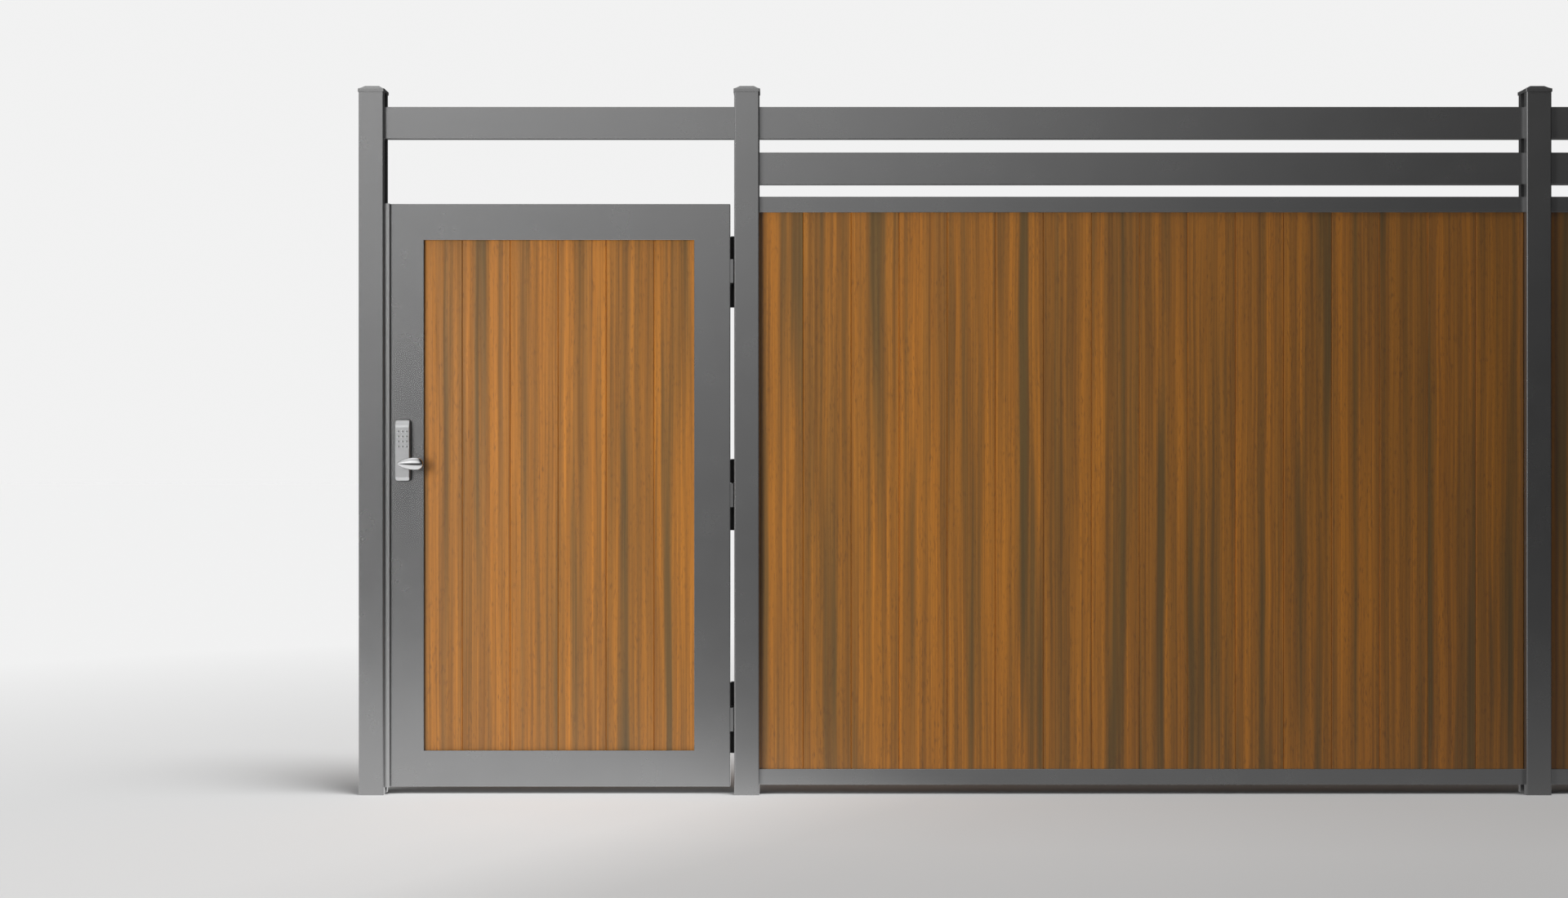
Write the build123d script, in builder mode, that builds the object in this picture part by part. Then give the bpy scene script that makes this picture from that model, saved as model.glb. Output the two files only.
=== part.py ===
import os
from math import ceil

from build123d import *

os.makedirs("parts", exist_ok=True)

# Posts: square aluminium extrusion with a panel groove down each side.
post_size = 76.2
post_height = 2133.6
post_corner = 4.0
post_wall = 3.0
groove_depth = 19.0

# Spacing along the fence, measured clear between posts.
gate_opening = 1062.5
bay_clear = 2325.5

# Rails sit snugly in the post grooves.
rail_thick = 32.0
rail_wall = 3.0
rail_corner = 1.2
rail_insert = 13.0
accent_height = 96.6
channel_height = 47.6
accent_drop = 42.9
accent_gap = 42.2
channel_gap = 37.9
ground_gap = 28.8

# Tongue-and-groove composite boards.
board_cover = 146.24
board_thick = 20.0
board_chamfer = 1.3
board_gap = 0.4
board_count = 16
board_inset = 13.2
tongue_thick = 6.0
tongue_length = 7.5
tongue_fit = 0.4
slot_fit = 0.2
slot_depth = 20.0
board_expansion = 4.0

# Post caps.
cap_overhang = 2.0
cap_rim = 9.9
cap_shoulder = 8.0
cap_shoulder_rise = 2.8
cap_crown = 11.0
cap_crown_rise = 7.2
cap_edge = 0.8
cap_corner = 2.6
plug_depth = 16.0
plug_fit = 0.6

# Gate leaf.
hinge_gap = 13.15
latch_gap = 7.35
leaf_thick = 44.5
leaf_member = 109.5
leaf_bottom = 21.5
header_gap = 197.8
leaf_wall = 3.0
leaf_corner = 1.2
leaf_slot = 13.0
leaf_board_insert = 12.0
leaf_joint = 232.35

# Gate stop in the latch post's groove.
stop_nose = 15.0
stop_thick = 8.7
stop_tongue = 15.0
stop_corner = 1.2
swing_clear = 5.0

# Hinges.
hinge_height = 216.0
hinge_end = 204.0
knuckle_radius = 9.0
knuckle_gap = 1.0
pin_radius = 4.0
pin_run = 0.25
pin_head_radius = 6.5
pin_head = 2.5
hinge_plate = 3.0
hinge_plate_reach = 62.0
hinge_plate_corner = 6.0
hinge_offset = 9.9
bracket_thick = 9.6
bracket_set = 2.0

# Keypad lever lock.
lock_width = 43.0
lock_height = 185.0
lock_depth = 26.0
lock_corner = 7.0
lock_edge = 48.3
lock_mid = 1046.0
lock_gasket = 2.5
lock_gasket_margin = 1.6
lock_top_slope = 24.0
lock_top_drop = 12.0
lock_foot_slope = 10.5
lock_foot_drop = 8.0
lock_soften = 1.6
button_radius = 4.0
button_height = 3.0
button_dome = 1.8
button_sides = 16
button_columns = 3
button_rows = 4
button_pitch_x = 12.4
button_pitch_z = 15.3
button_mid = 34.0
lever_drop = 40.5
rose_radius = 19.0
rose_thick = 5.0
rose_step = 1.5
neck_radius = 8.5
neck_clear = 0.5
neck_length = 46.0
neck_grip = 6.0
neck_tip_radius = 6.2
lever_heel = 10.0
lever_belly = 54.4
lever_length = 80.0
lever_height = 36.8
lever_depth = 14.4
lever_edge = 5.0
spindle_side = 8.0
stile_hole_radius = 12.0
inside_depth = 14.0
inside_step = 2.5

# Derived lines of the layout.
half_post = post_size / 2
latch_x = -(gate_opening + post_size)
bay_pitch = bay_clear + post_size
line_x = bay_pitch
end_x = 2 * bay_pitch
accent_top = post_height - accent_drop
second_top = accent_top - accent_height - accent_gap
channel_top = second_top - accent_height - channel_gap
leaf_right = -half_post - hinge_gap
leaf_left = latch_x + half_post + latch_gap
leaf_width = leaf_right - leaf_left
leaf_top = accent_top - accent_height - header_gap
leaf_height = leaf_top - leaf_bottom
leaf_back = half_post
leaf_front = leaf_back - leaf_thick
leaf_mid = leaf_back - leaf_thick / 2
pin_x = -half_post - hinge_gap / 2
pin_y = half_post + hinge_offset
lock_x = leaf_left + lock_edge
lever_z = lock_mid - lever_drop
lock_face = leaf_front - lock_gasket - lock_depth
inside_face = leaf_back + inside_depth
neck_root = lock_face + neck_grip
inside_neck_root = inside_face - neck_grip
third = hinge_height / 3
hinge_levels = {
    "upper": leaf_top - hinge_end,
    "middle": (leaf_top + leaf_bottom) / 2,
    "lower": leaf_bottom + hinge_end,
}


def finish(builder, name):
    """Label one finished piece and write its file."""
    builder.part.label = name
    export_step(builder.part, f"parts/{name}.step")


def bevelled(width, height, corner):
    """A rectangle with its four corners cut at 45 degrees."""
    half_width, half_height = width / 2, height / 2
    flat, upright = half_width - corner, half_height - corner
    Polygon(
        (-flat, -half_height),
        (flat, -half_height),
        (half_width, -upright),
        (half_width, upright),
        (flat, half_height),
        (-flat, half_height),
        (-half_width, upright),
        (-half_width, -upright),
        align=None,
    )


def hollow(wall):
    """Leave an even wall all round the section being drawn."""
    offset(amount=-wall, kind=Kind.INTERSECTION, mode=Mode.SUBTRACT)


def board_section(count):
    """A row of boards in plan, tongue to the right, face chamfered at each joint."""
    half = board_thick / 2
    edge = board_gap / 2
    right = board_cover - edge
    tongue = tongue_thick / 2
    bite = tongue + tongue_fit
    deep = edge + tongue_length + tongue_fit
    outline = [
        (edge, -half + board_chamfer),
        (edge + board_chamfer, -half),
        (right - board_chamfer, -half),
        (right, -half + board_chamfer),
        (right, -tongue),
        (right + tongue_length, -tongue),
        (right + tongue_length, tongue),
        (right, tongue),
        (right, half - board_chamfer),
        (right - board_chamfer, half),
        (edge + board_chamfer, half),
        (edge, half - board_chamfer),
        (edge, bite),
        (deep, bite),
        (deep, -bite),
        (edge, -bite),
    ]
    for index in range(count):
        with Locations((index * board_cover, 0)):
            Polygon(*outline, align=None)


# Four posts: one hollow extrusion, grooved both sides for rails and boards.
posts = {"latch_post": latch_x, "hinge_post": 0.0, "line_post": line_x, "end_post": end_x}
for post_name, post_x in posts.items():
    with BuildPart() as post:
        with BuildSketch(Plane.XY):
            with Locations((post_x, 0)):
                RectangleRounded(post_size, post_size, post_corner)
            for side in (-1, 1):
                with Locations((post_x + side * (half_post - groove_depth / 2), 0)):
                    Rectangle(groove_depth, rail_thick, mode=Mode.SUBTRACT)
            hollow(post_wall)
        extrude(amount=post_height)
    finish(post, post_name)

# Post caps: a square rim, a shallow shoulder and a bevelled crown, the same profile
# both ways, with two spigots that push into the post's front and back chambers.
chamber_wide = post_size - 2 * post_wall - 2 * plug_fit
chamber_deep = (post_size - rail_thick) / 2 - 2 * post_wall - 2 * plug_fit
cap_size = post_size + 2 * cap_overhang
cap_height = cap_rim + cap_shoulder_rise + cap_crown_rise
half_profile = [
    (cap_size / 2, 0),
    (cap_size / 2, cap_rim - cap_edge),
    (cap_size / 2 - cap_edge, cap_rim),
    (cap_size / 2 - 2 * cap_edge, cap_rim),
    (cap_size / 2 - cap_shoulder, cap_rim + cap_shoulder_rise),
    (cap_size / 2 - cap_shoulder - cap_crown, cap_height),
]
cap_profile = half_profile + [(-across, up) for across, up in reversed(half_profile)]
for post_name, post_x in posts.items():
    with BuildPart() as cap:
        with BuildSketch(Plane.XZ.offset(cap_size / 2)):
            with Locations((post_x, post_height)):
                Polygon(*cap_profile, align=None)
        extrude(amount=-cap_size)
        with BuildSketch(Plane.YZ.offset(post_x - cap_size / 2)):
            with Locations((0, post_height)):
                Polygon(*cap_profile, align=None)
        extrude(amount=cap_size, mode=Mode.INTERSECT)
        with BuildSketch(Plane.XY.offset(post_height)):
            with Locations((post_x, 0)):
                bevelled(cap_size, cap_size, cap_corner)
        extrude(amount=cap_height, mode=Mode.INTERSECT)
        with BuildSketch(Plane.XY.offset(post_height)):
            for side in (-1, 1):
                spigot_y = side * (half_post - (half_post - rail_thick / 2) / 2)
                with Locations((post_x, spigot_y)):
                    Rectangle(chamber_wide - 2 * post_corner, chamber_deep)
        extrude(amount=-plug_depth)
    finish(cap, f"{post_name}_cap")

# Rails between posts: hollow accent rails, and channels slotted for the boards.
spans = {
    "gate": (latch_x + half_post, gate_opening),
    "first_bay": (half_post, bay_clear),
    "second_bay": (line_x + half_post, bay_clear),
}
accents = {
    "gate_header_rail": ("gate", accent_top),
    "first_bay_upper_rail": ("first_bay", accent_top),
    "first_bay_second_rail": ("first_bay", second_top),
    "second_bay_upper_rail": ("second_bay", accent_top),
    "second_bay_second_rail": ("second_bay", second_top),
}
for rail_name, (span, top) in accents.items():
    start, clear = spans[span]
    with BuildPart() as rail:
        with BuildSketch(Plane.YZ.offset(start - rail_insert)):
            with Locations((0, top - accent_height / 2)):
                bevelled(rail_thick, accent_height, rail_corner)
            hollow(rail_wall)
        extrude(amount=clear + 2 * rail_insert)
    finish(rail, rail_name)

board_slot = board_thick + 2 * slot_fit
for bay in ("first_bay", "second_bay"):
    start, clear = spans[bay]
    channels = {
        "top_channel": (channel_top - channel_height / 2, -1),
        "bottom_channel": (ground_gap + channel_height / 2, 1),
    }
    for channel_name, (middle, mouth) in channels.items():
        with BuildPart() as channel:
            with BuildSketch(Plane.YZ.offset(start - rail_insert)):
                with Locations((0, middle)):
                    bevelled(rail_thick, channel_height, rail_corner)
                with Locations((0, middle + mouth * (channel_height - slot_depth) / 2)):
                    Rectangle(board_slot, slot_depth, mode=Mode.SUBTRACT)
                hollow(rail_wall)
            extrude(amount=clear + 2 * rail_insert)
        finish(channel, f"{bay}_{channel_name}")
    board_foot = ground_gap + channel_height - slot_depth
    board_head = channel_top - channel_height + slot_depth - board_expansion
    with BuildPart() as boards:
        with BuildSketch(Plane(origin=(start - board_inset, 0, board_foot))):
            board_section(board_count)
        extrude(amount=board_head - board_foot)
    finish(boards, f"{bay}_boards")

# Gate stop: a strip with a tongue lying along the front wall of the groove.
stop_back = leaf_front - swing_clear
stop_root = latch_x + half_post
with BuildPart() as gate_stop:
    with BuildSketch(Plane.XY.offset(leaf_bottom)):
        with Locations((stop_root, stop_back - stop_thick)):
            Rectangle(stop_nose, stop_thick, align=(Align.MIN, Align.MIN))
        with Locations((stop_root, -rail_thick / 2)):
            Rectangle(stop_tongue, stop_back + rail_thick / 2, align=(Align.MAX, Align.MIN))
    extrude(amount=leaf_height)
    nose_edges = gate_stop.edges().filter_by(Axis.Z).group_by(Axis.X)[-1]
    fillet(nose_edges, stop_corner)
finish(gate_stop, "gate_stop")

# Gate leaf: four hollow members mitred at the corners, slotted for the boards.
leaf_slot_wide = board_thick + 2 * slot_fit


def leaf_section(across, inner):
    """One frame member's section, slotted on its inner edge; across is its mid line."""
    with Locations((across, leaf_mid)):
        bevelled(leaf_member, leaf_thick, leaf_corner)
    with Locations((across + inner * (leaf_member - leaf_slot) / 2, leaf_mid)):
        Rectangle(leaf_slot, leaf_slot_wide, mode=Mode.SUBTRACT)
    hollow(leaf_wall)


corner_planes = {
    "left_top": ((leaf_left, 0, leaf_top), (1, 0, 1)),
    "right_top": ((leaf_right, 0, leaf_top), (-1, 0, 1)),
    "left_foot": ((leaf_left, 0, leaf_bottom), (1, 0, -1)),
    "right_foot": ((leaf_right, 0, leaf_bottom), (-1, 0, -1)),
}


def mitre(corner, keep):
    """Trim the member being built at one corner of the leaf."""
    origin, normal = corner_planes[corner]
    split(bisect_by=Plane(origin=origin, z_dir=normal), keep=keep)


with BuildPart() as hinge_stile:
    with BuildSketch(Plane.XY.offset(leaf_bottom)):
        leaf_section(leaf_right - leaf_member / 2, -1)
    extrude(amount=leaf_height)
    mitre("right_top", Keep.BOTTOM)
    mitre("right_foot", Keep.BOTTOM)
finish(hinge_stile, "gate_hinge_stile")

with BuildPart() as latch_stile:
    with BuildSketch(Plane.XY.offset(leaf_bottom)):
        leaf_section(leaf_left + leaf_member / 2, 1)
    extrude(amount=leaf_height)
    mitre("left_top", Keep.BOTTOM)
    mitre("left_foot", Keep.BOTTOM)
    with BuildSketch(Plane.XZ.offset(-leaf_back)):
        with Locations((lock_x, lever_z)):
            Circle(stile_hole_radius)
    extrude(amount=leaf_thick, mode=Mode.SUBTRACT)
finish(latch_stile, "gate_latch_stile")

rail_plane = Plane(origin=(leaf_left, 0, 0), x_dir=(0, 0, 1), z_dir=(1, 0, 0))
for rail_name, middle, inner in (
    ("gate_top_rail", leaf_top - leaf_member / 2, -1),
    ("gate_bottom_rail", leaf_bottom + leaf_member / 2, 1),
):
    corner_level = "top" if inner < 0 else "foot"
    with BuildPart() as rail:
        with BuildSketch(rail_plane):
            with Locations((middle, -leaf_mid)):
                bevelled(leaf_member, leaf_thick, leaf_corner)
            with Locations((middle + inner * (leaf_member - leaf_slot) / 2, -leaf_mid)):
                Rectangle(leaf_slot, leaf_slot_wide, mode=Mode.SUBTRACT)
            hollow(leaf_wall)
        extrude(amount=leaf_width)
        mitre(f"left_{corner_level}", Keep.TOP)
        mitre(f"right_{corner_level}", Keep.TOP)
    finish(rail, rail_name)

# Gate boards: full boards set out from one joint line, the outer two ripped to fit.
pane_left = leaf_left + leaf_member - leaf_board_insert
pane_right = leaf_right - leaf_member + leaf_board_insert
pane_foot = leaf_bottom + leaf_member - leaf_slot
pane_head = leaf_top - leaf_member + leaf_board_insert
last_joint = leaf_right - leaf_joint
whole_boards = ceil((last_joint - pane_left) / board_cover)
first_board = last_joint - whole_boards * board_cover
with BuildPart() as gate_boards:
    with BuildSketch(Plane(origin=(first_board, leaf_mid, pane_foot))):
        board_section(whole_boards + 1)
    extrude(amount=pane_head - pane_foot)
    with BuildSketch(Plane.XY.offset(pane_foot)):
        with Locations((pane_left, leaf_mid)):
            Rectangle(pane_right - pane_left, board_thick, align=(Align.MIN, Align.CENTER))
    extrude(amount=pane_head - pane_foot, mode=Mode.INTERSECT)
finish(gate_boards, "gate_boards")

# Hinges: black outer knuckles on the post's back, a middle knuckle on the gate's
# edge and a headed steel pin through all three.
for level_name, level in hinge_levels.items():
    foot = level - hinge_height / 2
    with BuildPart() as post_leaf:
        with BuildSketch(Plane.XZ.offset(-half_post)):
            with Locations((pin_x, level)):
                Rectangle(hinge_plate_reach, hinge_height, align=(Align.MIN, Align.CENTER))
        extrude(amount=-hinge_plate)
        plate_ends = post_leaf.edges().filter_by(Axis.Y).group_by(Axis.X)[-1]
        fillet(plate_ends, hinge_plate_corner)
        with BuildSketch(Plane.XY.offset(foot)):
            with Locations((pin_x, pin_y)):
                Circle(knuckle_radius)
        extrude(amount=hinge_height)
        with BuildSketch(Plane.XY.offset(foot + third - knuckle_gap)):
            with Locations((pin_x, half_post)):
                Rectangle(
                    4 * knuckle_radius, 4 * knuckle_radius, align=(Align.CENTER, Align.MIN)
                )
        extrude(amount=third + 2 * knuckle_gap, mode=Mode.SUBTRACT)
        with BuildSketch(Plane.XY.offset(foot)):
            with Locations((pin_x, pin_y)):
                Circle(pin_radius + pin_run)
        extrude(amount=hinge_height, mode=Mode.SUBTRACT)
    finish(post_leaf, f"{level_name}_hinge_post_leaf")

    with BuildPart() as gate_knuckle:
        with BuildSketch(Plane.XY.offset(level - third / 2)):
            with Locations((leaf_right, leaf_front + bracket_set)):
                Rectangle(
                    bracket_thick,
                    pin_y - leaf_front - bracket_set,
                    align=(Align.MIN, Align.MIN),
                )
            with Locations((pin_x, pin_y)):
                Circle(knuckle_radius)
                Circle(pin_radius + pin_run, mode=Mode.SUBTRACT)
        extrude(amount=third)
    finish(gate_knuckle, f"{level_name}_hinge_gate_knuckle")

    with BuildPart() as hinge_pin:
        with BuildSketch(Plane.XY.offset(foot)):
            with Locations((pin_x, pin_y)):
                Circle(pin_radius)
        extrude(amount=hinge_height)
        with BuildSketch(Plane.XY.offset(level + hinge_height / 2)):
            with Locations((pin_x, pin_y)):
                Circle(pin_head_radius)
        extrude(amount=pin_head)
    finish(hinge_pin, f"{level_name}_hinge_pin")

# Lock: a gasket against the stile, then the keypad body, its face flat between a
# long sloping head and a short sloping foot.
lock_foot = lock_mid - lock_height / 2
lock_head = lock_mid + lock_height / 2
with BuildPart() as gasket:
    with BuildSketch(Plane.XZ.offset(-leaf_front)):
        with Locations((lock_x, lock_mid)):
            RectangleRounded(
                lock_width + 2 * lock_gasket_margin,
                lock_height + 2 * lock_gasket_margin,
                lock_corner + lock_gasket_margin,
            )
        with Locations((lock_x, lever_z)):
            Circle(stile_hole_radius, mode=Mode.SUBTRACT)
    extrude(amount=lock_gasket)
finish(gasket, "lock_gasket")

gasket_face = leaf_front - lock_gasket
with BuildPart() as lock_body:
    with BuildSketch(Plane.XZ.offset(-gasket_face)):
        with Locations((lock_x, lock_mid)):
            RectangleRounded(lock_width, lock_height, lock_corner)
    extrude(amount=lock_depth)
    with BuildSketch(Plane.YZ.offset(lock_x - lock_width)):
        with BuildLine():
            Polyline(
                (lock_face, lock_foot + lock_foot_slope),
                (lock_face + lock_foot_drop, lock_foot),
                (gasket_face, lock_foot),
                (gasket_face, lock_head),
                (lock_face + lock_top_drop, lock_head),
            )
            head_bulge = (
                lock_face + lock_top_drop * 0.30,
                lock_head - lock_top_slope * 0.42,
            )
            ThreePointArc(
                (lock_face + lock_top_drop, lock_head),
                head_bulge,
                (lock_face, lock_head - lock_top_slope),
            )
            Line(
                (lock_face, lock_head - lock_top_slope),
                (lock_face, lock_foot + lock_foot_slope),
            )
        make_face()
    extrude(amount=2 * lock_width, mode=Mode.INTERSECT)
    front_rim = lock_body.edges().filter_by(lambda edge: edge.center().Y < gasket_face - 1)
    front_rim = front_rim.filter_by(Axis.Y, reverse=True)
    fillet(front_rim, lock_soften)
    with BuildSketch(Plane.XZ.offset(-gasket_face)):
        with Locations((lock_x, lever_z)):
            Circle(neck_radius + neck_clear)
    extrude(amount=lock_depth, mode=Mode.SUBTRACT)
finish(lock_body, "lock_body")

with BuildPart() as buttons:
    with BuildSketch(Plane.XZ.offset(-lock_face)):
        with Locations((lock_x, lock_mid + button_mid)):
            with GridLocations(button_pitch_x, button_pitch_z, button_columns, button_rows):
                RegularPolygon(button_radius, button_sides)
    extrude(amount=button_height)
    caps = buttons.faces().group_by(Axis.Y)[0]
    chamfer(caps.edges(), button_dome)
finish(buttons, "lock_buttons")

# Lever set: a rose each side, paddle levers on necks and a square spindle between.
with BuildPart() as outer_rose:
    with BuildSketch(Plane.XZ.offset(-lock_face)):
        with Locations((lock_x, lever_z)):
            Circle(rose_radius)
            Circle(neck_radius + neck_clear, mode=Mode.SUBTRACT)
    extrude(amount=rose_thick - rose_step)
    with BuildSketch(Plane.XZ.offset(-lock_face)):
        with Locations((lock_x, lever_z)):
            Circle(rose_radius - rose_step)
            Circle(neck_radius + neck_clear, mode=Mode.SUBTRACT)
    extrude(amount=rose_thick)
finish(outer_rose, "outside_rose")

with BuildPart() as inside_plate:
    for margin, depth in ((0.0, inside_depth - inside_step), (inside_step, inside_depth)):
        with BuildSketch(Plane.XZ.offset(-leaf_back)):
            with Locations((lock_x, lock_mid)):
                RectangleRounded(
                    lock_width - 2 * margin, lock_height - 2 * margin, lock_corner - margin
                )
        extrude(amount=-depth)
    with BuildSketch(Plane.XZ.offset(-leaf_back)):
        with Locations((lock_x, lever_z)):
            Circle(neck_radius + neck_clear)
    extrude(amount=-inside_depth, mode=Mode.SUBTRACT)
finish(inside_plate, "inside_plate")

with BuildPart() as inside_rose:
    with BuildSketch(Plane.XZ.offset(-inside_face)):
        with Locations((lock_x, lever_z)):
            Circle(rose_radius)
            Circle(neck_radius + neck_clear, mode=Mode.SUBTRACT)
    extrude(amount=rose_step - rose_thick)
    with BuildSketch(Plane.XZ.offset(-inside_face)):
        with Locations((lock_x, lever_z)):
            Circle(rose_radius - rose_step)
            Circle(neck_radius + neck_clear, mode=Mode.SUBTRACT)
    extrude(amount=-rose_thick)
finish(inside_rose, "inside_rose")

# Paddle levers: a teardrop, pointed behind the spindle and round at its tip, dished
# to a thin edge above and below, on a neck that tapers out from the rose.
neck_tip = neck_root - neck_length
inside_neck_tip = inside_neck_root + neck_length
heel_x = lock_x - lever_heel
belly_x = heel_x + lever_belly
half_lever = lever_height / 2
for lever_name, root, tip, outward in (
    ("outside_lever", neck_root, neck_tip, -1),
    ("inside_lever", inside_neck_root, inside_neck_tip, 1),
):
    with BuildPart() as lever:
        with BuildSketch(Plane.XZ.offset(-tip)):
            with BuildLine():
                TangentArc(
                    (belly_x, lever_z + half_lever), (heel_x, lever_z), tangent=(-1, 0)
                )
                TangentArc(
                    (belly_x, lever_z - half_lever), (heel_x, lever_z), tangent=(-1, 0)
                )
                EllipticalCenterArc(
                    (belly_x, lever_z),
                    lever_length - lever_belly,
                    half_lever,
                    start_angle=-90,
                    arc_size=180,
                )
            make_face()
        extrude(amount=lever_depth / 2, both=True)
        with BuildSketch(Plane.YZ.offset(heel_x)):
            with BuildLine():
                for face in (-1, 1):
                    edge_y = tip + face * lever_edge / 2
                    ThreePointArc(
                        (edge_y, lever_z - half_lever),
                        (tip + face * lever_depth / 2, lever_z),
                        (edge_y, lever_z + half_lever),
                    )
                for level in (lever_z - half_lever, lever_z + half_lever):
                    Line((tip - lever_edge / 2, level), (tip + lever_edge / 2, level))
            make_face()
        extrude(amount=lever_length, mode=Mode.INTERSECT)
        with Locations(Plane(origin=(lock_x, root, lever_z), z_dir=(0, outward, 0))):
            Cone(
                neck_radius,
                neck_tip_radius,
                neck_length,
                align=(Align.CENTER, Align.CENTER, Align.MIN),
            )
    finish(lever, lever_name)

with BuildPart() as spindle:
    with BuildSketch(Plane.XZ.offset(-neck_root)):
        with Locations((lock_x, lever_z)):
            Rectangle(spindle_side, spindle_side)
    extrude(amount=neck_root - inside_neck_root)
finish(spindle, "lever_spindle")
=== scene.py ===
import math

import bpy
import numpy as np
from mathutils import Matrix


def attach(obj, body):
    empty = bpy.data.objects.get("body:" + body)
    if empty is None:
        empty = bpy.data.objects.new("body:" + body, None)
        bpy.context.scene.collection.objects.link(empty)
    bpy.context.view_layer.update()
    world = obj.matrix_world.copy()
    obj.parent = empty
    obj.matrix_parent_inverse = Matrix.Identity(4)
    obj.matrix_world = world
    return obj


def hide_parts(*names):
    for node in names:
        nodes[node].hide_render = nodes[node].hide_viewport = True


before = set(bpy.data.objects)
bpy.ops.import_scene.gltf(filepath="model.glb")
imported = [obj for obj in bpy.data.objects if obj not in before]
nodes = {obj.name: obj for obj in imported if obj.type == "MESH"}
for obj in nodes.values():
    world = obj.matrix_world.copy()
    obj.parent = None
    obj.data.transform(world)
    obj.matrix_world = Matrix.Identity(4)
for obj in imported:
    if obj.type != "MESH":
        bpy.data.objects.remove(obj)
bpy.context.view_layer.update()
scene = bpy.context.scene
scene.view_settings.view_transform = "Standard"

# Posts. Square hollow aluminium extrusions with a groove down each side, cut to
# length and powder coated in charcoal grey: a fine orange-peel skin with a soft
# sheen, a little uneven in gloss along its length.


def start_finish(name):
    """A new material with its node tree, surface shader and object-space position."""
    material = bpy.data.materials.new(name)
    material.use_nodes = True
    tree = material.node_tree
    shader = tree.nodes["Principled BSDF"]
    place = tree.nodes.new("ShaderNodeTexCoord").outputs["Object"]
    return material, tree, shader, place


def add(tree, kind, sockets=None, **settings):
    """One shader node: settings are its options, sockets its inputs as values or links."""
    made = tree.nodes.new(kind)
    for key, value in settings.items():
        setattr(made, key, value)
    for key, value in (sockets or {}).items():
        if isinstance(value, bpy.types.NodeSocket):
            tree.links.new(value, made.inputs[key])
        else:
            made.inputs[key].default_value = value
    return made


def ramp(tree, factor, stops):
    """A colour ramp through the given (position, grey or colour) stops."""
    made = add(tree, "ShaderNodeValToRGB", {"Fac": factor})
    elements = made.color_ramp.elements
    while len(elements) < len(stops):
        elements.new(0.5)
    for element, (position, colour) in zip(elements, stops):
        element.position = position
        if isinstance(colour, (int, float)):
            colour = (colour, colour, colour)
        element.color = (*colour, 1.0)
    return made.outputs["Color"]


def blend(tree, factor, first, second, way="MIX"):
    """Two colours mixed by a factor."""
    sockets = {"Factor": factor, "A": first, "B": second}
    made = add(tree, "ShaderNodeMix", sockets, data_type="RGBA", blend_type=way)
    return made.outputs["Result"]


def dress(names, material):
    """Give CAD nodes their finish."""
    for name in names:
        mesh = nodes[name].data
        mesh.materials.clear()
        mesh.materials.append(material)


def powder_coat(name, colour, gloss):
    """Even coat colour with faint mottling, soft gloss changes and orange-peel relief."""
    material, tree, shader, place = start_finish(name)
    mottle = add(tree, "ShaderNodeTexNoise", {"Vector": place, "Scale": 9.0, "Detail": 4.0})
    speck = add(tree, "ShaderNodeTexNoise", {"Vector": place, "Scale": 900.0, "Detail": 2.0})
    dark = tuple(0.98 * channel for channel in colour)
    light = tuple(1.02 * channel for channel in colour)
    tone = ramp(tree, mottle.outputs["Fac"], [(0.3, dark), (0.7, light)])
    grain = ramp(tree, speck.outputs["Fac"], [(0.35, 0.99), (0.65, 1.01)])
    coat = blend(tree, 1.0, tone, grain, "MULTIPLY")
    tree.links.new(coat, shader.inputs["Base Color"])
    shader.inputs["Metallic"].default_value = 0.8
    rough = ramp(tree, mottle.outputs["Fac"], [(0.3, gloss - 0.006), (0.7, gloss + 0.006)])
    tree.links.new(rough, shader.inputs["Roughness"])
    peel = add(tree, "ShaderNodeTexNoise", {"Vector": place, "Scale": 420.0, "Detail": 1.0})
    bump = add(
        tree,
        "ShaderNodeBump",
        {"Strength": 0.015, "Distance": 0.0003, "Height": peel.outputs["Fac"]},
    )
    tree.links.new(bump.outputs["Normal"], shader.inputs["Normal"])
    return material


charcoal = powder_coat("charcoal_powder_coat", (0.29, 0.29, 0.291), 0.27)
post_names = ["latch_post", "hinge_post", "line_post", "end_post"]
dress(post_names, charcoal)

# Post caps. Square-rimmed aluminium caps with a bevelled crown, pushed over the open
# tops of the posts and powder coated to match them.
dress([f"{post}_cap" for post in post_names], charcoal)

# Rails. Hollow accent rails over the gate and boards, and slotted channels above
# and below the boards, all coated like the posts.
dress(["gate_header_rail"], charcoal)
BAY_RAILS = ("upper_rail", "second_rail", "top_channel", "bottom_channel")
for bay in ("first_bay", "second_bay"):
    dress([f"{bay}_{rail}" for rail in BAY_RAILS], charcoal)

# Boards. Capped wood-plastic composite, tongue and groove, set upright. Each board
# is orange-brown with long olive-brown streaks, fine grain lines and short pores,
# and no two boards carry the same streaks.
BOARD_COVER = 0.14624


def maths(tree, operation, first, second=0.0):
    """One arithmetic node."""
    return add(tree, "ShaderNodeMath", {0: first, 1: second}, operation=operation).outputs[0]


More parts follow.
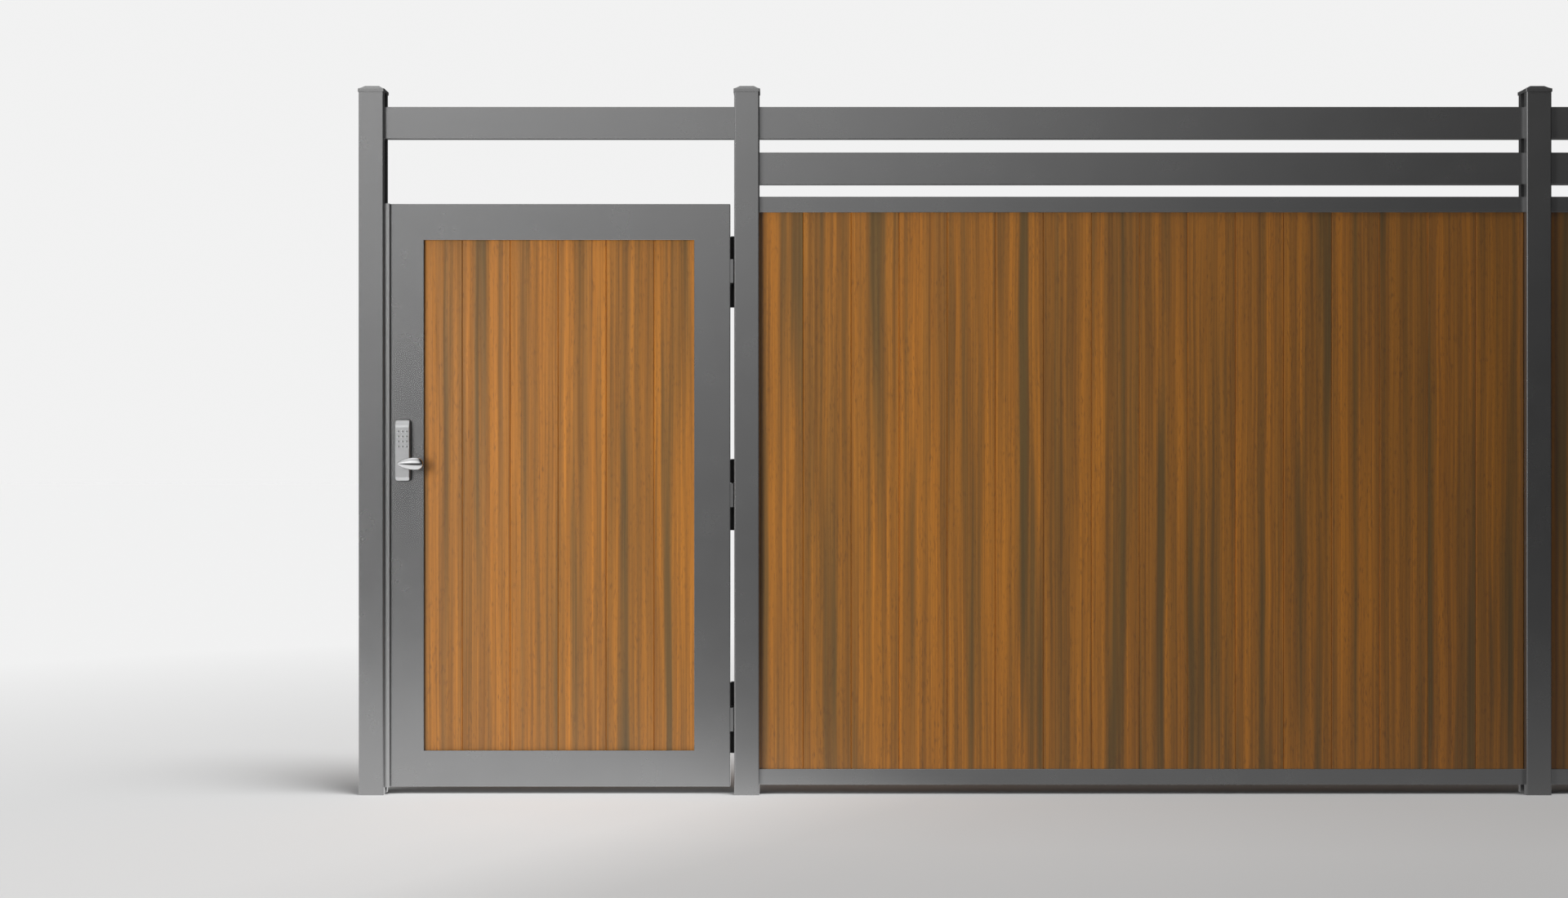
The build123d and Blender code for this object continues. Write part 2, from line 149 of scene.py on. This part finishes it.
def board_finish(name, first_edge, seed):
    """Streaked composite: noise drawn out lengthwise, moved per board, painted shade at joints."""
    material, tree, shader, place = start_finish(name)
    axes = add(tree, "ShaderNodeSeparateXYZ", {"Vector": place})
    x, z = axes.outputs["X"], axes.outputs["Z"]

    count = maths(tree, "DIVIDE", maths(tree, "SUBTRACT", x, first_edge), BOARD_COVER)
    number = maths(tree, "ADD", maths(tree, "FLOOR", count), seed)
    lot = add(tree, "ShaderNodeTexWhiteNoise", {"W": number}, noise_dimensions="1D")
    shift = maths(tree, "MULTIPLY", lot.outputs["Value"], 83.0)

    def noise_at(side, layer, along, detail, roughness=0.5):
        """Noise read at a point of its own."""
        point = add(tree, "ShaderNodeCombineXYZ", {"X": side, "Y": layer, "Z": along})
        sockets = {"Vector": point.outputs[0], "Scale": 1.0, "Detail": detail}
        sockets["Roughness"] = roughness
        return add(tree, "ShaderNodeTexNoise", sockets).outputs["Fac"]

    def streaks(across, along, detail, layer, wander=0.0):
        """Noise over (across, layer, along): long streaks that wander a little sideways."""
        side = x
        if wander:
            slow_x, slow_z = maths(tree, "MULTIPLY", x, 9.0), maths(tree, "MULTIPLY", z, 2.6)
            sway = noise_at(slow_x, shift, slow_z, 1.0)
            side = maths(tree, "ADD", x, maths(tree, "MULTIPLY", sway, wander))
        return noise_at(
            maths(tree, "MULTIPLY", side, across),
            maths(tree, "ADD", shift, layer),
            maths(tree, "ADD", maths(tree, "MULTIPLY", z, along), shift),
            detail,
            0.55,
        )

    orange = (0.48, 0.178, 0.017, 1.0)
    brown = (0.26, 0.110, 0.017, 1.0)
    umber = (0.205, 0.078, 0.012, 1.0)
    olive = (0.096, 0.066, 0.021, 1.0)
    pore = (0.12, 0.048, 0.012, 1.0)
    broad = ramp(tree, streaks(34.0, 0.5, 2.5, 3.0, 0.008), [(0.4, 0.0), (0.66, 1.0)])
    medium = ramp(tree, streaks(95.0, 1.2, 2.0, 7.0, 0.012), [(0.44, 0.0), (0.76, 0.6)])
    dark = ramp(tree, streaks(23.0, 0.5, 1.5, 11.0, 0.006), [(0.54, 0.0), (0.7, 0.8)])
    lines = ramp(tree, streaks(170.0, 1.1, 3.0, 23.0, 0.006), [(0.3, 0.72), (0.7, 1.22)])
    patch = ramp(tree, streaks(40.0, 5.0, 2.0, 29.0), [(0.38, 0.3), (0.58, 1.0)])
    dash = ramp(tree, streaks(230.0, 42.0, 1.0, 31.0, 0.02), [(0.53, 0.0), (0.78, 0.55)])
    body = blend(tree, broad, orange, brown)
    body = blend(tree, medium, body, umber)
    body = blend(tree, dark, body, olive)
    body = blend(tree, 1.0, body, lines, "MULTIPLY")
    body = blend(tree, maths(tree, "MULTIPLY", dash, patch), body, pore)
    tint = ramp(tree, lot.outputs["Value"], [(0.0, (0.88, 0.9, 0.92)), (1.0, (1.07, 1.05, 1.0))])
    body = blend(tree, 1.0, body, tint, "MULTIPLY")
    # Painted shade: each board joint takes a thin orange-brown line in place of the shade in its
    # groove.
    edge = maths(tree, "ABSOLUTE", maths(tree, "SUBTRACT", maths(tree, "FRACT", count), 0.5))
    painted_joint_shade = ramp(tree, edge, [(0.489, (1.0, 1.0, 1.0)), (0.4945, (1.2, 0.95, 0.45))])
    body = blend(tree, 1.0, body, painted_joint_shade, "MULTIPLY")
    tree.links.new(body, shader.inputs["Base Color"])
    shader.inputs["Specular IOR Level"].default_value = 0.8
    gloss = ramp(tree, lines, [(0.8, 0.48), (1.0, 0.4)])
    tree.links.new(gloss, shader.inputs["Roughness"])
    relief = add(
        tree, "ShaderNodeBump", {"Strength": 0.25, "Distance": 0.0005, "Height": lines}
    )
    tree.links.new(relief.outputs["Normal"], shader.inputs["Normal"])
    return material


for boards, first_edge, seed in (
    ("first_bay_boards", 0.0249, 3.0),
    ("second_bay_boards", 2.4266, 41.0),
    ("gate_boards", -1.0148, 29.0),
):
    dress([boards], board_finish(f"{boards}_composite", first_edge, seed))

# Gate stop. A narrow coated strip held in the latch post's groove, standing just
# in front of the closed leaf's edge. Its coat is painted lighter than the post's, a painted
# highlight that makes up for the light it loses in the shade beside the post.
dress(["gate_stop"], powder_coat("stop_coat_painted_lighter", (0.39, 0.39, 0.391), 0.3))

# Gate leaf. Four broad hollow aluminium members, slotted inside for the boards, mitred
# and welded at the corners, dressed flush and coated like the posts.
dress(
    ["gate_hinge_stile", "gate_latch_stile", "gate_top_rail", "gate_bottom_rail"], charcoal
)

# Hinges. Black moulded outer knuckles with their plates on the post's back, coated
# middle knuckles on the gate's edge, and a bare steel pin through each.


def moulded(name, colour, gloss):
    """Moulded polymer: near-even colour with a fine matt grain."""
    material, tree, shader, place = start_finish(name)
    grain = add(tree, "ShaderNodeTexNoise", {"Vector": place, "Scale": 700.0, "Detail": 3.0})
    low = tuple(0.8 * channel for channel in colour)
    tone = ramp(tree, grain.outputs["Fac"], [(0.3, low), (0.7, colour)])
    tree.links.new(tone, shader.inputs["Base Color"])
    rough = ramp(tree, grain.outputs["Fac"], [(0.3, gloss - 0.06), (0.7, gloss + 0.06)])
    tree.links.new(rough, shader.inputs["Roughness"])
    bump = add(
        tree,
        "ShaderNodeBump",
        {"Strength": 0.2, "Distance": 0.0003, "Height": grain.outputs["Fac"]},
    )
    tree.links.new(bump.outputs["Normal"], shader.inputs["Normal"])
    return material


def bare_metal(name, colour, gloss, drawn, metal=1.0):
    """Bare metal: fine brushing drawn out along one axis, with faint smudges in the gloss."""
    material, tree, shader, place = start_finish(name)
    shader.inputs["Metallic"].default_value = metal
    stretch = add(tree, "ShaderNodeMapping", {"Vector": place, "Scale": drawn})
    brush = add(
        tree,
        "ShaderNodeTexNoise",
        {"Vector": stretch.outputs["Vector"], "Scale": 1.0, "Detail": 3.0},
    )
    smudge = add(tree, "ShaderNodeTexNoise", {"Vector": place, "Scale": 60.0, "Detail": 4.0})
    low = tuple(0.93 * channel for channel in colour)
    tone = ramp(tree, brush.outputs["Fac"], [(0.3, low), (0.7, colour)])
    tree.links.new(tone, shader.inputs["Base Color"])
    rough = ramp(tree, smudge.outputs["Fac"], [(0.3, 0.9 * gloss), (0.7, 1.1 * gloss)])
    tree.links.new(rough, shader.inputs["Roughness"])
    bump = add(
        tree,
        "ShaderNodeBump",
        {"Strength": 0.05, "Distance": 0.0002, "Height": brush.outputs["Fac"]},
    )
    tree.links.new(bump.outputs["Normal"], shader.inputs["Normal"])
    return material


hinge_black = moulded("hinge_black_polymer", (0.014, 0.014, 0.015), 0.5)
pin_steel = bare_metal("pin_steel", (0.5, 0.5, 0.5), 0.3, (900.0, 900.0, 20.0))
for level in ("upper", "middle", "lower"):
    dress([f"{level}_hinge_post_leaf"], hinge_black)
    dress([f"{level}_hinge_gate_knuckle"], charcoal)
    dress([f"{level}_hinge_pin"], pin_steel)

# Hinge screws. Four round-headed steel screws with hexagon sockets hold each hinge
# plate to the back of its post.


def add_piece(name, sheets, material, body, slot, *replaced):
    """One mesh from closed sheets of points: rows along it, columns round it, ends capped."""
    points, faces, start = [], [], 0
    for sheet in sheets:
        rows, columns = sheet.shape[:2]
        row, column = np.meshgrid(np.arange(rows - 1), np.arange(columns), indexing="ij")
        after = (column + 1) % columns
        quads = np.stack(
            [
                row * columns + column,
                row * columns + after,
                (row + 1) * columns + after,
                (row + 1) * columns + column,
            ],
            axis=-1,
        ).reshape(-1, 4)
        flat = sheet.reshape(-1, 3) - sheet.reshape(-1, 3).mean(axis=0)
        first, second, third, fourth = (flat[quads[:, corner]] for corner in range(4))
        volume = np.einsum("ij,ij->", first, np.cross(second, third))
        volume += np.einsum("ij,ij->", first, np.cross(third, fourth))
        ends = [
            list(range(columns))[::-1],
            list(range((rows - 1) * columns, rows * columns)),
        ]
        loops = quads.tolist() + ends
        if volume < 0:
            loops = [loop[::-1] for loop in loops]
        faces += [[start + corner for corner in loop] for loop in loops]
        points.append(sheet.reshape(-1, 3))
        start += rows * columns
    mesh = bpy.data.meshes.new(name)
    mesh.from_pydata(np.concatenate(points).tolist(), [], faces)
    mesh.polygons.foreach_set("use_smooth", np.ones(len(faces), dtype=bool))
    mesh.set_sharp_from_angle(angle=math.radians(40.0))
    mesh.materials.append(material)
    piece = bpy.data.objects.new(name, mesh)
    scene.collection.objects.link(piece)
    if replaced:
        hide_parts(*replaced)
    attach(piece, body)
    return piece


def turned(profile, centre, facing, columns=32, hexagon=()):
    """A profile of (radius, height) rows turned about Y; the named rows are hexagons instead."""
    angle = np.linspace(0.0, 2 * np.pi, columns, endpoint=False)
    radius = np.array(profile)[:, :1] * np.ones(columns)
    for row in hexagon:
        corner = (angle + np.pi / 6) % (np.pi / 3) - np.pi / 6
        radius[row] = profile[row][0] / np.cos(corner)
    height = np.array(profile)[:, 1:] * np.ones(columns)
    around = np.stack([radius * np.cos(angle), facing * height, radius * np.sin(angle)], axis=-1)
    return around + np.array(centre)


SCREW_HEAD = [
    (0.0002, 0.0007),
    (0.0016, 0.0007),
    (0.0016, 0.0024),
    (0.0019, 0.0026),
    (0.0032, 0.0023),
    (0.0043, 0.0016),
    (0.0048, 0.0007),
    (0.0048, -0.0004),
    (0.0002, -0.0004),
]
screw_steel = bare_metal("screw_steel", (0.42, 0.42, 0.42), 0.34, (500.0, 500.0, 500.0))
for level, height in (("upper", 1.5923), ("middle", 0.9089), ("lower", 0.2255)):
    spots = [(-0.014, -0.088), (0.006, -0.038), (0.006, 0.038), (-0.014, 0.088)]
    sheets = [
        turned(SCREW_HEAD, (x, 0.0411, height + rise), 1.0, 24, (0, 1, 2)) for x, rise in spots
    ]
    add_piece(f"{level}_hinge_screws", sheets, screw_steel, "fence", "bare_steel")

# Lock. A die-cast satin chrome keypad body on a black gasket, screwed through the
# stile to a plain inside plate, with a round rose at each side.
satin = bare_metal("satin_chrome", (0.6, 0.603, 0.608), 0.32, (40.0, 40.0, 1500.0), 0.75)
bright = bare_metal("bright_chrome", (0.62, 0.62, 0.625), 0.09, (300.0, 300.0, 300.0))
dress(["lock_gasket"], moulded("lock_gasket_rubber", (0.012, 0.012, 0.012), 0.65))
dress(["lock_body", "inside_plate", "outside_rose", "inside_rose"], satin)
dress(["lock_buttons", "outside_lever", "inside_lever"], bright)
LOCK_X = -1.04495
LEVER_Z = 1.0055
PLATE_FACE = 0.0521
plate_screws = [
    turned(SCREW_HEAD, (LOCK_X, PLATE_FACE, z), 1.0, 24, (0, 1, 2)) for z in (0.9685, 1.1235)
]
add_piece("inside_plate_screws", plate_screws, screw_steel, "leaf", "bare_steel")

# Keypad buttons. Twelve bright domed buttons in four rows of three, each rising
# from a short straight skirt.
lift = np.linspace(0.0, 0.5 * np.pi, 9)[:-1]
BUTTON = [(0.0002, -0.0004), (0.004, -0.0004), (0.004, 0.0009)]
BUTTON += [(0.004 * math.cos(a), 0.0009 + 0.0021 * math.sin(a)) for a in lift[1:]]
BUTTON += [(0.0002, 0.003)]
button_places = [
    (LOCK_X + 0.0124 * column, -0.0349, 1.08 + 0.0153 * row)
    for row in (-1.5, -0.5, 0.5, 1.5)
    for column in (-1, 0, 1)
]
add_piece(
    "keypad_buttons",
    [turned(BUTTON, place, -1.0) for place in button_places],
    bare_metal("button_chrome", (0.68, 0.68, 0.685), 0.18, (300.0, 300.0, 300.0)),
    "leaf",
    "bright_chrome",
    "lock_buttons",
)

# Levers. Cast paddle levers polished bright: a teardrop paddle, pointed over the
# spindle and round at its tip, carried on a neck that sweeps out from the rose.


def lever_sheets(root, tip, outward):
    """Paddle and neck of one lever.

    Over the first 0.68 of its 80 mm the paddle's half height swells to 18.4 mm as a parabola to
    the power 0.75, then closes in a blunt round end; its half depth is 7.2 mm times the root of
    that share, and each section a rounded lens.  The neck is a tube whose middle line bends
    from the spindle to the paddle.
    """
    share = 0.5 - 0.5 * np.cos(np.linspace(0.02, 0.99, 56) * np.pi)
    turn = np.linspace(0.0, 2 * np.pi, 56, endpoint=False)
    swell = np.clip(1 - (1 - share / 0.68) ** 2, 0.0, 1.0) ** 0.75
    close = np.sqrt(1 - np.clip((share - 0.68) / 0.32, 0.0, 1.0) ** 2.6)
    half_height = 0.0184 * np.where(share < 0.68, swell, close)
    half_depth = 0.0072 * np.sqrt(half_height / 0.0184)
    lens = np.sign(np.cos(turn)) * np.abs(np.cos(turn)) ** 1.35
    x = LOCK_X - 0.010 + 0.080 * share[:, None] + 0.0 * turn
    y = tip + outward * half_depth[:, None] * lens
    z = LEVER_Z + half_height[:, None] * np.sin(turn)
    paddle = np.stack([x, y, z], axis=-1)
    along = np.linspace(0.0, 1.0, 24)[:, None]
    bend = np.clip((along - 0.3) / 0.7, 0.0, 1.0)
    radius = 0.0085 - 0.0022 * np.sin(np.pi * bend) - 0.0012 * bend
    x = LOCK_X + 0.011 * bend**2 * (3 - 2 * bend) + radius * np.cos(turn)
    y = root + (tip - root) * along + 0.0 * turn
    z = LEVER_Z + radius * np.sin(turn)
    neck = np.stack([x, y, z], axis=-1)
    return [paddle, neck]


add_piece(
    "outside_paddle_lever",
    lever_sheets(-0.0289, -0.0749, -1.0),
    bright,
    "lever",
    "bright_chrome",
    "outside_lever",
)
add_piece(
    "inside_paddle_lever",
    lever_sheets(0.0461, 0.0921, 1.0),
    bright,
    "lever",
    "bright_chrome",
    "inside_lever",
)
dress(["lever_spindle"], pin_steel)

# Studio. A wide pale floor with painted shade beside the fence runs out to a pale background.
# A soft key light and two soft boxes overhead light the part, two distant lamps the floor alone,
# mirrors see a dome of their own, mirrors and bounced light a painted floor glow, and a level
# camera is in front.
FLOOR_EDGE = 7.8
BACKGROUND = 0.885
FLOOR_HALF = 60.0
floor_mesh = bpy.data.meshes.new("floor")
floor_mesh.from_pydata(
    [(x * FLOOR_HALF, y * FLOOR_HALF, 0.0) for x, y in ((-1, -1), (1, -1), (1, 1), (-1, 1))],
    [],
    [(0, 1, 2, 3)],
)
floor = bpy.data.objects.new("floor", floor_mesh)
scene.collection.objects.link(floor)


def floor_paper():
    """Pale matt paper with a pool of shade painted greyer beside the fence, and a painted glow.

    The painted shade pool changes along x - 0.61 y and fades out with distance from its middle,
    and painted shade makes the paper a little darker along the fence's foot. The painted glow,
    seen in mirrors and by bounced light, changes along x - 0.54 y, fades towards the front and
    is dim past the floor's far edge.
    """
    material, tree, shader, place = start_finish("floor_paper")
    shader.inputs["Roughness"].default_value = 0.9
    shader.inputs["Specular IOR Level"].default_value = 0.0

    def stretch(value, low, high, **settings):
        """A value carried from a range to 0 to 1."""
        sockets = {"Value": value, 1: low, 2: high}
        return add(tree, "ShaderNodeMapRange", sockets, **settings).outputs[0]

    def apart(point, middle):
        """Distance of a point from a middle."""
        sockets = {0: point, 1: middle}
        return add(tree, "ShaderNodeVectorMath", sockets, operation="DISTANCE").outputs["Value"]

    axes = add(tree, "ShaderNodeSeparateXYZ", {"Vector": place})
    x, y = axes.outputs["X"], axes.outputs["Y"]
    # Painted shade: the floor turns greyer in a pool beside the fence, in place of a pool of
    # shadow.
    painted_shade_pool = stretch(maths(tree, "SUBTRACT", x, maths(tree, "MULTIPLY", y, 0.61)), -5.0, 5.0)
    painted_shade_pool = ramp(tree, painted_shade_pool, [(0.46, 0.7), (0.5, 0.672), (0.562, 0.53), (0.6, 0.5), (0.76, 0.44)])
    reach = apart(place, (1.0, -0.9, 0.0))
    paper = blend(tree, stretch(reach, 3.2, 6.8), painted_shade_pool, (BACKGROUND, BACKGROUND, BACKGROUND, 1.0))
    # Painted shade: the paper is a little darker along the fence's foot, where shade falls.
    flat = add(tree, "ShaderNodeVectorMath", {0: place, 1: (0.35, 1.0, 0.0)}, operation="MULTIPLY")
    painted_foot_shade = ramp(tree, apart(flat.outputs[0], (0.6, 0.0, 0.0)), [(0.0, 0.87), (1.0, 1.0)])
    paper = blend(tree, 1.0, paper, painted_foot_shade, "MULTIPLY")
    tree.links.new(paper, shader.inputs["Base Color"])
    # Painted light: the floor glows for mirrors and bounced light, bright at the left and dim at
    # the right.
    painted_glow = stretch(maths(tree, "SUBTRACT", x, maths(tree, "MULTIPLY", y, 0.54)), -5.0, 5.0)
    painted_glow = ramp(tree, painted_glow, [(0.0, 1.2), (0.5, 1.15), (0.58, 0.36), (1.0, 0.17)])
    fade = ramp(tree, stretch(y, -10.0, 0.0), [(0.0, 0.1), (0.5, 0.35), (0.8, 1.0)])
    painted_glow = blend(tree, 1.0, painted_glow, fade, "MULTIPLY")
    beyond = stretch(y, 1.5, FLOOR_EDGE, interpolation_type="SMOOTHSTEP")
    painted_glow = blend(tree, beyond, painted_glow, (0.06, 0.06, 0.06, 1.0))
    path = add(tree, "ShaderNodeLightPath")
    bounced = path.outputs["Is Diffuse Ray"]
    strength = maths(tree, "SUBTRACT", 1.0, maths(tree, "MULTIPLY", bounced, 0.42))
    painted_glow_emission = add(tree, "ShaderNodeEmission", {"Color": painted_glow, "Strength": strength})
    share = maths(tree, "MAXIMUM", path.outputs["Is Glossy Ray"], bounced)
    mixed = add(tree, "ShaderNodeMixShader", {0: share, 1: shader.outputs[0], 2: painted_glow_emission.outputs[0]})
    tree.links.new(mixed.outputs[0], tree.nodes["Material Output"].inputs["Surface"])
    return material


floor_mesh.materials.append(floor_paper())


def lamp_at(name, kind, place, target, power, **settings):
    """A lamp at a place, turned to face a target."""
    lamp = bpy.data.lights.new(name, kind)
    lamp.energy = power
    for setting, value in settings.items():
        setattr(lamp, setting, value)
    holder = bpy.data.objects.new(name, lamp)
    scene.collection.objects.link(holder)
    aim = np.array(target, float) - np.array(place, float)
    aim /= np.linalg.norm(aim)
    holder.location = place
    holder.rotation_euler = (math.acos(-aim[2]), 0.0, math.atan2(aim[0], -aim[1]) + math.pi)
    return holder


def soft_box(name, place, target, width, height, power):
    """A rectangular area light at a place, turned to face a target."""
    return lamp_at(
        name, "AREA", place, target, power, shape="RECTANGLE", size=width, size_y=height
    )


key_box = soft_box("key_box", (-1.9, -3.6, 1.3), (0.0, 0.0, 0.85), 1.4, 1.8, 42.0)
key_box.data.spread = math.radians(100.0)
top_front = soft_box("top_front", (0.9, -1.2, 6.0), (0.9, -0.9, 0.0), 7.0, 2.4, 138.0)
top_back = soft_box("top_back", (-3.0, 5.4, 6.5), (-3.0, 5.4, 0.0), 10.0, 4.0, 360.0)
for lamp in (key_box, top_front, top_back):
    lamp.visible_glossy = False
all_but_floor = bpy.data.collections.new("all_but_floor")
all_but_floor.objects.link(floor)
all_but_floor.collection_objects[0].light_linking.link_state = "EXCLUDE"
for lamp in (key_box, top_front, top_back):
    lamp.light_linking.receiver_collection = all_but_floor

floor_only = bpy.data.collections.new("floor_only")
floor_only.objects.link(floor)
for name, place, power, width in (
    ("floor_right", (3.0, -2.2, 10.0), 2.4, 26.0),
    ("floor_left", (-8.0, -8.0, 10.0), 1.33, 50.0),
):
    lamp = lamp_at(name, "SUN", place, (0.0, 0.0, 0.0), power, angle=math.radians(width))
    lamp.light_linking.receiver_collection = floor_only

world = bpy.data.worlds.new("studio_room")
world.use_nodes = True
scene.world = world
world.cycles_visibility.diffuse = False
room = world.node_tree
heading = add(room, "ShaderNodeTexCoord").outputs["Generated"]
ways = add(room, "ShaderNodeSeparateXYZ", {"Vector": heading})
rise = ramp(
    room,
    ways.outputs["Z"],
    [(0.0, 0.18), (0.05, 0.22), (0.2, 1.0), (0.36, 1.0), (0.6, 0.55), (0.8, 0.55), (1.0, 0.85)],
)
sideways = add(room, "ShaderNodeMapRange", {"Value": ways.outputs["X"], 1: -1.0, 2: 1.0})
side = ramp(
    room,
    sideways.outputs[0],
    [(0.0, 0.5), (0.2, 0.85), (0.38, 1.0), (0.5, 0.6), (0.59, 0.17), (0.64, 0.03), (1.0, 0.02)],
)
sky = blend(room, 1.0, rise, side, "MULTIPLY")
aback = add(room, "ShaderNodeMapRange", {"Value": ways.outputs["Y"], 1: 0.3, 2: 0.8})
low = add(room, "ShaderNodeMapRange", {"Value": ways.outputs["Z"], 1: 0.5, 2: 0.2})
unlit = maths(room, "MULTIPLY", aback.outputs[0], low.outputs[0])
sky = blend(room, unlit, sky, (0.03, 0.03, 0.03, 1.0))
dome = room.nodes["Background"]
room.links.new(sky, dome.inputs["Color"])
dome.inputs["Strength"].default_value = 1.7
plain = add(room, "ShaderNodeBackground", {"Color": (BACKGROUND, BACKGROUND, BACKGROUND, 1.0)})
seen = add(room, "ShaderNodeLightPath").outputs["Is Camera Ray"]
shown = add(room, "ShaderNodeMixShader", {0: seen, 1: dome.outputs[0], 2: plain.outputs[0]})
room.links.new(shown.outputs[0], room.nodes["World Output"].inputs["Surface"])

camera_data = bpy.data.cameras.new("front_camera")
camera_data.sensor_width = 36.0
camera_data.lens = 50.0
camera_data.clip_end = 100.0
camera = bpy.data.objects.new("front_camera", camera_data)
camera.location = (0.1129, -6.638, 1.0499)
camera.rotation_euler = (math.pi / 2, 0.0, 0.0)
scene.collection.objects.link(camera)
scene.camera = camera
